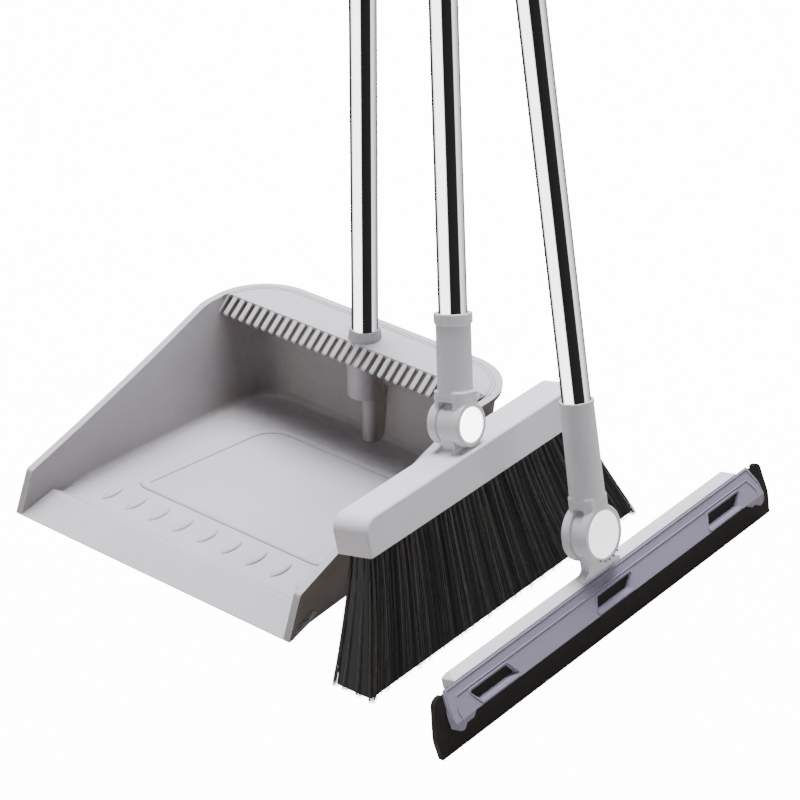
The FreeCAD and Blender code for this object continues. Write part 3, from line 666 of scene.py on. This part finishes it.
# ---- finishes ------------------------------------------------------------------------------
def finish(slot):
    """Material of one slot of the record, made once."""
    name = "finish_" + slot
    if name in bpy.data.materials:
        return bpy.data.materials[name]
    scene = bpy.context.scene
    pan = scene.dustpan
    handles = scene.handles
    makers = {
        # The dustpan's colour carries painted shade on its walls and undersides.
        "pan_plastic": lambda: moulded_plastic(name, tuple(pan.plastic), 0.48, painted_shade=tuple(pan.painted_shade)),
        "broom_plastic": lambda: moulded_plastic(name, tuple(scene.broom.plastic), 0.46),
        "squeegee_plastic": lambda: moulded_plastic(name, tuple(scene.squeegee.spine), 0.46),
        "fork_plastic": lambda: moulded_plastic(name, tuple(handles.fork), 0.46),
        "grip_plastic": lambda: moulded_plastic(name, tuple(handles.fork), 0.45, 0.06 * MM),
        "plug_plastic": lambda: moulded_plastic(name, (0.09, 0.09, 0.095), 0.5),
        "washer_plastic": lambda: gloss_plastic(name, (0.06, 0.06, 0.065)),
        # Both caps get a painted glow from their emission.
        "white_cap": lambda: gloss_plastic(name, tuple(handles.cap), handles.white_cap_painted_glow),
        "grey_cap": lambda: gloss_plastic(name, tuple(handles.grey_cap), handles.grey_cap_painted_glow),
        "pole_chrome": lambda: plated_chrome(name, tuple(handles.chrome)),
        "zinc_steel": lambda: zinc_steel(name, tuple(handles.steel)),
        "bristle_fibre": lambda: bristle_fibre(name, tuple(scene.broom.bristle)),
        "blade_rubber": lambda: black_rubber(name, tuple(scene.squeegee.rubber)),
    }
    return makers[slot]()


class FLOORSET_OT_finishes(bpy.types.Operator):
    """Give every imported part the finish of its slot"""

    bl_idname = "floorset.finishes"
    bl_label = "Finishes"

    def execute(self, context):
        slots = {material["slot"] for material in frame["record"]["materials"]}
        for part in frame["nodes"].values():
            part.visible_glossy = False
            for slot in part.material_slots:
                name = slot.material.name.split(".")[0]
                if name not in slots:
                    raise RuntimeError("no finish for " + name)
                slot.material = finish(name)
        return {"FINISHED"}


# ---- dustpan -------------------------------------------------------------------------------
def crisp_copy(node, name, body, slot, edge, segments=2, material=None):
    """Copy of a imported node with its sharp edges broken, as a mould leaves them."""
    mesh = frame["nodes"][node].data.copy()
    work = bmesh.new()
    work.from_mesh(mesh)
    bmesh.ops.remove_doubles(work, verts=work.verts, dist=1e-6)
    bmesh.ops.dissolve_limit(work, angle_limit=math.radians(1.0), verts=work.verts, edges=work.edges)
    crease = math.radians(28)
    edges = [e for e in work.edges if e.is_manifold and e.calc_face_angle(0.0) > crease]
    bmesh.ops.bevel(work, geom=edges, offset=edge, offset_type="OFFSET", segments=segments,
                    profile=0.5, affect="EDGES", clamp_overlap=True)
    work.to_mesh(mesh)
    work.free()
    piece = settle(name, mesh, body, material or finish(slot), slot, (node,), 38.0)
    piece.modifiers.new("crisp", "WEIGHTED_NORMAL").keep_sharp = True


def wall_lines(pan, offset, front):
    """Foot and top of the side and back walls, grown by offset: matching points round the pan."""
    lines = []
    for half_back, back, corner in (
        (pan.foot_half, pan.foot_back, pan.foot_corner),
        (pan.hood_half, pan.hood_back, pan.hood_corner),
    ):
        spread = (pan.mouth_half - half_back) / back
        radius = corner + offset
        near = pan.mouth_half + offset - spread * front
        rear = half_back + offset - spread * offset
        right = [(near, front, 0), (rear, back + offset, radius)]
        left = [(-u, v, r) for u, v, r in reversed(right)]
        lines.append(rounded(right + left, steps=20))
    return lines


def divided_ends(line):
    """The line with its two long end runs divided, more finely near its ends."""
    shares = [(k / 10) ** 2 for k in range(10)]
    start = [line[0].lerp(line[1], share) for share in shares]
    end = [line[-1].lerp(line[-2], share) for share in reversed(shares)]
    return start + line[1:-1] + end


def wall_point(lines, index, height, total):
    """Point of the wall at a height, on the way from its foot line to its top line."""
    foot, top = lines[0][index], lines[1][index]
    flat = foot.lerp(top, height / total)
    return Vector((flat.x, flat.y, height))


class FLOORSET_OT_dustpan(bpy.types.Operator):
    """Hooded dustpan with its comb, and the cove, bead and bumps of its floor"""

    bl_idname = "floorset.dustpan"
    bl_label = "Dustpan"

    def execute(self, context):
        pan = context.scene.dustpan
        crisp_copy("pan_body", "dustpan_moulding", "dustpan", "pan_plastic", 0.45 * MM)
        self.cove(pan)
        self.hood_lines(pan)
        self.tray_bead(pan)
        self.ripples(pan)
        self.fingers(pan)
        return {"FINISHED"}

    def add(self, shape, name, sharp=60.0):
        shape.finish(name, "dustpan", finish("pan_plastic"), "pan_plastic", sharp=sharp)

    def ripples(self, pan):
        """Full rounding of the low bumps behind the lip."""
        shape = Shape(pan_matrix())
        for i in range(pan.ripple_count):
            middle = Vector(((i - (pan.ripple_count - 1) / 2) * pan.ripple_pitch, pan.ripple_y, pan.floor))
            rings = []
            for level in (-0.2, 0.0, 0.3, 0.55, 0.76, 0.9, 0.98):
                size = math.sqrt(1 - max(level, 0.0) ** 2)
                ring = []
                for p in circle(1.0, 28):
                    pinched = math.copysign(abs(p.y) ** 1.3, p.y)
                    across = pinched * pan.ripple_width / 2 * size
                    along = -p.x * pan.ripple_length / 2 * size
                    ring.append(middle + Vector((across, along, level * pan.ripple_height)))
                rings.append(ring)
            shape.rings(rings)
        self.add(shape, "floor_ripples")

    def tray_bead(self, pan):
        """Broad soft bead that frames the middle of the floor."""
        grow = pan.tray_bead / 2
        right = [(pan.tray_front_half + grow, pan.tray_front - grow, 6 * MM),
                 (pan.tray_back_half + grow, pan.tray_back + grow, pan.tray_corner + grow)]
        left = [(-u, v, radius) for u, v, radius in reversed(right)]
        route = [Vector((p.x, p.y, pan.floor)) for p in rounded(left[1:] + right + left[:1], 14)]
        shape = Shape(pan_matrix())
        shape.bead(route, pan.tray_round, Vector((0, 0, 1)), sides=16, rise=0.38)
        self.add(shape, "floor_bead")

    def fingers(self, pan):
        """Rounded fingers of the comb, over the plain ones."""
        fall = Vector((0, -pan.comb_reach, -pan.comb_drop))
        bury = 1 * MM           # how far a finger's root lies inside the hood
        sunk = 1.6 * MM         # how far its middle lies under the hood's top
        reach = fall.length + sunk
        fall.normalize()
        under = Vector((0, -fall.z, fall.y))
        root = Vector((0, pan.comb_root + bury, pan.hood_height)) + under * sunk
        wide = pan.comb_width / 2 + 0.05 * MM
        squareness = 0.55       # 1 is an ellipse, and 0 a box
        count = int(pan.comb_span / pan.comb_pitch) + 1
        shape = Shape(pan_matrix())
        for i in range(count):
            middle = root + Vector(((i - (count - 1) / 2) * pan.comb_pitch, 0, 0))
            rings = []
            for share, size in ((0, 1), (0.5, 1), (0.84, 1), (0.93, 0.93), (0.98, 0.74), (1.0, 0.4)):
                ring = []
                for p in circle(1.0, 16):
                    across = math.copysign(abs(p.x) ** squareness, p.x) * wide * size
                    down = math.copysign(abs(p.y) ** squareness, p.y) * pan.finger_deep * size
                    offset = Vector((across, 0, 0)) + under * down
                    ring.append(middle + fall * (reach * share) + offset)
                rings.append(ring)
            shape.rings(rings)
        self.add(shape, "comb_fingers", sharp=50.0)

    def cove(self, pan):
        """Hollow rounding where the floor turns up into the walls."""
        sink = 0.3 * MM         # how far its back lies inside the floor and the walls
        front = pan.lip_run + pan.lip_back - 3 * MM
        run_in = 30 * MM        # it grows to its full radius over this run
        lines = [divided_ends(line) for line in wall_lines(pan, -pan.wall, front)]
        count = len(lines[0])
        rings = []
        for i in range(count):
            corner = wall_point(lines, i, pan.floor, pan.hood_height)
            up = (wall_point(lines, i, 3 * pan.floor, pan.hood_height) - corner).normalized()
            before = wall_point(lines, max(i - 1, 0), pan.floor, pan.hood_height)
            after = wall_point(lines, min(i + 1, count - 1), pan.floor, pan.hood_height)
            along = (after - before).normalized()
            inward = Vector((-along.y, along.x, 0))
            half = inward.angle(up) / 2
            radius = pan.fillet * min(1.0, 0.06 + (corner.y - front) / run_in)
            centre = corner + (inward + up).normalized() * (radius / math.sin(half))
            start = (corner + inward * (radius / math.tan(half)) - centre).normalized()
            end = (corner + up * (radius / math.tan(half)) - centre).normalized()
            ring = [corner - inward * sink - Vector((0, 0, sink))]
            ring.append(centre + start * radius - Vector((0, 0, sink)))
            for k in range(9):
                ring.append(centre + start.slerp(end, k / 8) * radius)
            ring.append(centre + end * radius - inward * sink)
            rings.append(ring)
        shape = Shape(pan_matrix())
        shape.rings(rings)
        self.add(shape, "dustpan_cove")

    def hood_lines(self, pan):
        """Two fine lines that follow the hood's rim."""
        for i in range(2):
            distance = pan.hood_line_in + i * pan.hood_line_gap
            lines = wall_lines(pan, pan.rim - distance, pan.comb_root + 4 * MM)
            route = [Vector((p.x, p.y, pan.hood_height)) for p in lines[1]]
            shape = Shape(pan_matrix())
            shape.bead(route, pan.hood_line, Vector((0, 0, 1)), closed=False)
            self.add(shape, "hood_line_" + str(i + 1))


# ---- handles -------------------------------------------------------------------------------
class FLOORSET_OT_grips(bpy.types.Operator):
    """Grips with a ribbed band, one on each pole"""

    bl_idname = "floorset.grips"
    bl_label = "Grips"

    def execute(self, context):
        matrices = {"pan": self.pan_grip_frame(), "broom": handle_matrix("broom"),
                    "squeegee": handle_matrix("squeegee")}
        bodies = {"pan": "dustpan", "broom": "broom_handle", "squeegee": "squeegee_handle"}
        for tool, matrix in matrices.items():
            node = tool + "_grip"
            crisp_copy(node, node + "_moulding", bodies[tool], "grip_plastic", 0.9 * MM, segments=3)
            self.ribs(context.scene.handles, tool, bodies[tool], matrix)
        return {"FINISHED"}

    def pan_grip_frame(self):
        low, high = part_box("pan_grip")
        return Matrix.Translation(((low[0] + high[0]) / 2, (low[1] + high[1]) / 2, 0))

    def ribs(self, handles, tool, body, matrix):
        """Low rings round the sleeve, where fingers close on it."""
        shape = Shape(matrix)
        low, high = local_box(tool + "_grip", matrix)
        widest = (high.x - low.x) / 2
        taper = 0.0101          # how much the sleeve narrows over its length
        sunk = 1.2 * MM         # how far a ring's back lies inside the sleeve
        rise = 0.8 * MM
        half = 1.4 * MM
        for i in range(handles.rib_count):
            above = handles.rib_start + i * handles.rib_pitch
            middle = low.z + above
            radius = widest - 0.16 * MM - above * taper
            profile = [(radius - sunk, middle - half - 0.2 * MM)]
            for k in range(9):
                turn = math.pi * k / 8
                profile.append((radius + rise * math.sin(turn), middle - half * math.cos(turn)))
            profile.append((radius - sunk, middle + half + 0.2 * MM))
            shape.turned(profile, 72)
        shape.finish(tool + "_grip_ribs", body, finish("grip_plastic"), "grip_plastic")


class FLOORSET_OT_knuckles(bpy.types.Operator):
    """Forks that hold the poles, and the caps over their pins"""

    bl_idname = "floorset.knuckles"
    bl_label = "Knuckles"

    def execute(self, context):
        handles = context.scene.handles
        for tool, slot in (("broom", "white_cap"), ("squeegee", "grey_cap")):
            body = tool + "_handle"
            matrix = handle_matrix(tool)
            mesh = softened(tool + "_fork", matrix, handles.grain, 8, 0.35)
            material = finish("fork_plastic")
            settle(tool + "_fork_moulding", mesh, body, material, "fork_plastic", (tool + "_fork",), 50.0)
            for side in ("front", "back"):
                self.cap(handles, tool, side, body, matrix, slot)
        self.stop_marks(handles)
        return {"FINISHED"}

    def stop_marks(self, handles):
        """Dark discs round the squeegee's front cheek at the dimples which mark its stops: their dark is painted
        shade for the dimples' hollows.
        """
        matrix = handle_matrix("squeegee")
        _, high = local_box("squeegee_fork", matrix)
        face = high.x - 0.6 * MM
        profile = [(0.85 * MM, 0), (0.85 * MM, 0.62 * MM), (0.7 * MM, 0.7 * MM), (0.3 * MM, 0.66 * MM)]
        forward = Matrix.Rotation(math.pi / 2, 4, "Y")
        shape = Shape(matrix)
        for i in range(handles.mark_count):
            turn = math.radians(-118 + i * 16)
            y = handles.mark_ring * math.cos(turn)
            z = handles.mark_ring * math.sin(turn)
            shape.turned(profile, 20, Matrix.Translation((face, y, z)) @ forward)
        # A dark finish on the raised discs, as painted shade in place of hollow dimples.
        slot = "washer_plastic"
        shape.finish("squeegee_stop_marks", "squeegee_handle", finish(slot), slot, sharp=35.0)

    def cap(self, handles, tool, side, body, matrix, slot):
        """Pressed-in cap: a shallow dish with a rolled edge."""
        node = tool + "_" + side + "_cap"
        low, high = local_box(node, matrix)
        radius = (high.z - low.z) / 2 - 0.2 * MM
        thick = high.x - low.x
        roll = handles.cap_roll
        dish = handles.cap_dish
        profile = [(radius, 0)]
        for k in range(6):
            turn = math.pi / 2 * k / 5
            profile.append((radius - roll + roll * math.cos(turn), thick - roll + roll * math.sin(turn)))
        profile.append((radius - 2.2 * roll, thick))
        profile.append((radius - 3.4 * roll, thick - dish))
        profile.append((radius * 0.5, thick - 0.7 * dish))
        profile.append((0.2 * MM, thick - 0.5 * dish))
        sign = 1 if side == "front" else -1
        spin = Matrix.Rotation(math.pi / 2 * sign, 4, "Y")
        place = Matrix.Translation((low.x if sign > 0 else high.x, 0, 0)) @ spin
        shape = Shape(matrix)
        shape.turned(profile, 96, place)
        shape.finish(node + "_dished", body, finish(slot), slot, (node,), 40.0)


# ---- broom ---------------------------------------------------------------------------------
class FLOORSET_OT_broom_head(bpy.types.Operator):
    """Broom cover with softened edges"""

    bl_idname = "floorset.broom_head"
    bl_label = "Broom Head"

    def execute(self, context):
        edge = 0.8 * MM
        crisp_copy("broom_cover", "broom_cover_moulding", "broom_head", "broom_plastic", edge, segments=3)
        return {"FINISHED"}


class FLOORSET_OT_bristles(bpy.types.Operator):
    """Flared tufts of fine fibres round a dark core"""

    bl_idname = "floorset.bristles"
    bl_label = "Bristles"

    def execute(self, context):
        broom = context.scene.broom
        matrix = head_matrix("broom")
        roots_low, roots_high = local_box("broom_tuft_plate", matrix)
        _, feet_high = local_box("broom_bristles", matrix)
        floor = FloorUnder(matrix)
        root = Vector((roots_high.x - 3.0 * MM, roots_high.y - 3.5 * MM, roots_low.z))
        foot = Vector((feet_high.x - 1.5 * MM, feet_high.y + 1.0 * MM, 0))
        self.core(matrix, root, foot, floor)
        for line in range(broom.tufts_across):
            self.tufts(broom, matrix, line, root, foot, floor)
        return {"FINISHED"}

    def core(self, matrix, root, foot, floor):
        """Dark body of packed fibres that fills the middle of the head."""
        shape = Shape(matrix)
        rings = []
        for share in (0.0, 0.12, 0.35, 0.6, 0.82, 0.975):
            half_x = root.x + (foot.x - root.x) * share - (2.6 + 2.2 * share) * MM
            half_y = root.y + (foot.y - root.y) * share ** 1.1 - (1.4 + 0.4 * share) * MM
            corners = [(x * half_x, y * half_y, 4 * MM) for x, y in ((-1, -1), (1, -1), (1, 1), (-1, 1))]
            ring = []
            for p in rounded(corners, 4):
                ring.append((p.x, p.y, root.z + (floor.height(p.x) - root.z) * share))
            rings.append(ring)
        shape.rings(rings)
        slot = "bristle_fibre"
        piece = shape.finish("broom_bristle_core", "broom_head", finish(slot), slot, ("broom_bristles",))
        tone_points(piece, [0.15] * len(piece.data.vertices))

    def tufts(self, broom, matrix, line, root, foot, floor):
        """One line of tufts along the head. The end tufts are fuller, and stand straighter."""
        draw = random.Random(100 + line)
        across = 2 * (line + 0.5) / broom.tufts_across - 1
        outward = 1.0 if across > 0 else -1.0
        shape = Shape(matrix)
        tones = []
        for tuft in range(broom.tufts_along):
            along = 2 * (tuft + 0.5) / broom.tufts_along - 1
            fold = math.sin(tuft * 2.62 + line) * 1.3 * MM + draw.uniform(-1.0, 1.0) * MM
            drift = draw.uniform(-1.6, 1.6) * MM
            # The sine over the tufts is painted fold shade and sheen; the random part is the tufts' own tone.
            tone = 0.5 + 0.3 * math.sin(tuft * 1.9 + line) + draw.uniform(-0.15, 0.15)
            at_end = tuft in (0, broom.tufts_along - 1)
            flare = 5.2 * MM
            bend = 0.7
            count = broom.fibres
            if at_end:
                drift = 0.0
                flare = 3.8 * MM
                bend = 0.3
                count *= broom.end_share
            for _ in range(count):
                turn = draw.uniform(0, 2 * math.pi)
                reach = math.sqrt(draw.random())
                side = reach * math.cos(turn)
                face = reach * math.sin(turn)
                base = Vector((root.x * across + face * 1.6 * MM, root.y * along + side * 2.0 * MM, root.z))
                spread_y = foot.y * along + side * flare + drift
                spread_x = foot.x * across + face * 3.4 * MM + fold * outward
                short = min(abs(draw.gauss(0, 1)) * 1.5, 4.0) * MM
                tip = Vector((spread_x, spread_y, floor.height(spread_x) + 0.3 * MM + short))
                sway = Vector((draw.gauss(0, 0.5), draw.gauss(0, bend), 0)) * MM
                self.fibre(shape, base, tip, sway, broom.fibre / 2, turn)
                tones.extend([min(1.0, max(0.0, tone + draw.gauss(0, 0.16)))] * 15)
        slot = "bristle_fibre"
        name = "broom_fibres_" + str(line + 1)
        piece = shape.finish(name, "broom_head", finish(slot), slot, sharp=80.0)
        tone_points(piece, tones)

    def fibre(self, shape, base, tip, sway, radius, turn):
        """One tapered three-sided fibre in four lengths."""
        rings = []
        spread = tip - base
        for k in range(5):
            share = k / 4
            flat = share ** 1.18
            point = base + Vector((spread.x * flat, spread.y * flat, spread.z * share))
            point += sway * math.sin(math.pi * share)
            size = radius * (1.0 - 0.62 * share)
            rings.append([point + Vector((size * math.cos(turn + a), size * math.sin(turn + a), 0))
                          for a in (0, 2.094, 4.189)])
        shape.rings(rings)


class FloorUnder:
    """Height of the floor in the frame of a head, below a point at x."""

    def __init__(self, matrix):
        inverse = matrix.inverted()
        self.origin = inverse @ Vector((matrix.translation.x, matrix.translation.y, 0))
        self.normal = inverse.to_3x3() @ Vector((0, 0, 1))

    def height(self, x):
        return self.origin.z - self.normal.x * (x - self.origin.x) / self.normal.z


def tone_points(piece, tones):
    """Gives each point of the bristles its own tone, partly painted fold shade and sheen, which their material
    reads.
    """
    layer = piece.data.attributes.new("fibre_tone", "FLOAT", "POINT")
    layer.data.foreach_set("value", tones[:len(piece.data.vertices)])


# ---- squeegee ------------------------------------------------------------------------------
class FLOORSET_OT_squeegee_head(bpy.types.Operator):
    """Spine and clamp plate, with the plate's border lines and window frames"""

    bl_idname = "floorset.squeegee_head"
    bl_label = "Squeegee Head"

    def execute(self, context):
        squeegee = context.scene.squeegee
        body = "squeegee_head"
        crisp_copy("squeegee_spine", "squeegee_spine_moulding", body, "squeegee_plastic", 0.6 * MM)
        tone = moulded_plastic("finish_clamp_plate", tuple(squeegee.plate), 0.46)
        name = "squeegee_plate_moulding"
        crisp_copy("squeegee_plate", name, body, "squeegee_plastic", 0.5 * MM, material=tone)
        matrix = head_matrix("squeegee")
        ground = FloorUnder(matrix).height(0)
        run = squeegee.plate_front - squeegee.plate_brow
        drop = squeegee.plate_top - squeegee.plate_bottom
        normal = Vector((drop, 0, run)).normalized()

        def on_plate(y, z):
            """Point on the plate's front face, z above the floor."""
            x = squeegee.plate_front
            if z > squeegee.plate_bottom:
                x -= run * (z - squeegee.plate_bottom) / drop
            return Vector((x, y, z + ground))

        self.border_lines(squeegee, matrix, on_plate, normal, tone)
        self.window_frames(squeegee, matrix, on_plate, normal, tone)
        return {"FINISHED"}

    def border_lines(self, squeegee, matrix, on_plate, normal, tone):
        """Two raised lines that follow the plate's ends and top."""
        half, top = squeegee.plate_half, squeegee.plate_top
        for i, distance in enumerate((1.6 * MM, squeegee.border)):
            side = half - distance
            low = squeegee.plate_tip + 3 * MM + 0.4 * distance
            run = squeegee.plate_corner_run
            fall = squeegee.plate_corner_drop - 0.6 * distance
            corners = [(side - 1 * MM, low, 0), (side, top - distance - fall, 4 * MM),
                       (side - run, top - distance, 2 * MM)]
            mirrored = [(-y, z, radius) for y, z, radius in reversed(corners)]
            route = [on_plate(p.x, p.y) for p in rounded(corners + mirrored, 8)]
            shape = Shape(matrix)
            shape.bead(route, 0.75 * MM, normal, closed=False)
            shape.finish("plate_line_" + str(i + 1), "squeegee_head", tone, "squeegee_plastic")

    def window_frames(self, squeegee, matrix, on_plate, normal, tone):
        """Raised line round each slanted window."""
        grow = 1.3 * MM
        low = squeegee.window_bottom - grow
        high = squeegee.window_bottom + squeegee.window_height + grow
        for i, slant in enumerate((-1, 1, 1)):
            middle = (i - 1) * squeegee.window_spread
            shift = slant * squeegee.window_slant / 2
            reach = squeegee.window / 2 + grow
            corners = [(middle - reach - shift, low, 2 * MM), (middle + reach - shift, low, 2 * MM),
                       (middle + reach + shift, high, 2 * MM), (middle - reach + shift, high, 2 * MM)]
            route = [on_plate(p.x, p.y) for p in rounded(corners, 5)]
            shape = Shape(matrix)
            shape.bead(route, 0.8 * MM, normal)
            shape.finish("window_frame_" + str(i + 1), "squeegee_head", tone, "squeegee_plastic")


class FLOORSET_OT_blade(bpy.types.Operator):
    """Rubber blade with rounded ends"""

    bl_idname = "floorset.blade"
    bl_label = "Blade"

    def execute(self, context):
        slot = "blade_rubber"
        crisp_copy("squeegee_blade", "squeegee_blade_strip", "squeegee_head", slot, 0.6 * MM, segments=3)
        return {"FINISHED"}


# ---- panel and registration ----------------------------------------------------------------
STEPS = (
    "finishes", "dustpan", "grips", "knuckles", "broom_head", "bristles", "squeegee_head", "blade", "stage",
)


class FLOORSET_PT_parts(bpy.types.Panel):
    """Lists the parts of the floor set and their sizes"""

    bl_idname = "FLOORSET_PT_parts"
    bl_label = "Floor Set"
    bl_space_type = "VIEW_3D"
    bl_region_type = "UI"
    bl_category = "Floor Set"

    def draw(self, context):
        for step in STEPS:
            self.layout.operator("floorset." + step)
        for group in GROUPS:
            box = self.layout.box()
            box.label(text=group.title())
            settings = getattr(context.scene, group)
            for name in settings.__annotations__:
                box.prop(settings, name)


GROUPS = {
    "dustpan": DustpanSettings,
    "broom": BroomSettings,
    "squeegee": SqueegeeSettings,
    "handles": HandleSettings,
    "stage": StageSettings,
}
CLASSES = (
    *GROUPS.values(),
    FLOORSET_OT_finishes,
    FLOORSET_OT_dustpan,
    FLOORSET_OT_grips,
    FLOORSET_OT_knuckles,
    FLOORSET_OT_broom_head,
    FLOORSET_OT_bristles,
    FLOORSET_OT_squeegee_head,
    FLOORSET_OT_blade,
    FLOORSET_OT_stage,
    FLOORSET_PT_parts,
)


def register():
    for cls in CLASSES:
        bpy.utils.register_class(cls)
    for name, cls in GROUPS.items():
        setattr(bpy.types.Scene, name, PointerProperty(type=cls))


def unregister():
    for name in GROUPS:
        delattr(bpy.types.Scene, name)
    for cls in reversed(CLASSES):
        bpy.utils.unregister_class(cls)


def main():
    register()
    for step in STEPS:
        getattr(bpy.ops.floorset, step)()


if __name__ == "__main__":
    main()
